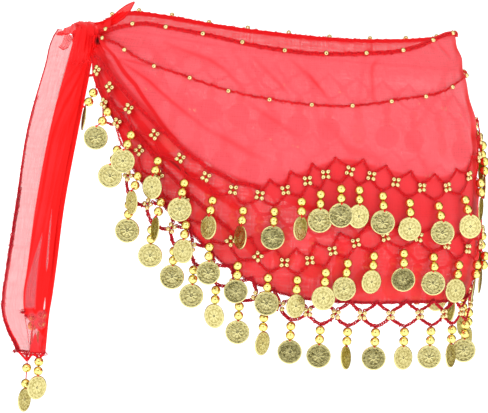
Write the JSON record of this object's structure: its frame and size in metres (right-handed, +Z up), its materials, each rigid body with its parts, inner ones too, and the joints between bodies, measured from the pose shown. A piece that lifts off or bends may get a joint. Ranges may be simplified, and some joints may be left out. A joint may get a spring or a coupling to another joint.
{
  "type": "belly dance hip scarf",
  "caption": "Sheer hip scarf tied at one hip, with crocheted net rows of bead and coin drops, a knot, a long hanging tail and a short ear; worn pose, hollow.",
  "frame": {"origin": "centre of the waist ring, where the wearer's hips hold the scarf", "axes": "+X to the hip away from the knot, -Y to the front, +Z up"},
  "size_m": [0.4108, 0.2762, 0.3565],
  "materials": {
    "chiffon": "sheer red polyester chiffon",
    "crochet": "crimson crochet thread",
    "gold_trim": "gold plated plastic beads and thin stamped coins on crimson thread"
  },
  "bodies": {
    "root": {"cloth_front": "chiffon", "cloth_back": "chiffon", "knot": "chiffon", "tail_long": "chiffon", "tail_short": "chiffon", "top_chain_front": "crochet", "top_chain_back": "crochet", "bead_line_front": "crochet", "bead_line_back": "crochet", "row_1_front": "gold_trim", "row_1_back": "gold_trim", "row_2_front": "gold_trim", "row_2_back": "gold_trim", "row_3_front": "gold_trim", "row_3_back": "gold_trim", "tail_drops": "gold_trim", "tail_inner_drops": "gold_trim"}
  },
  "joints": []
}
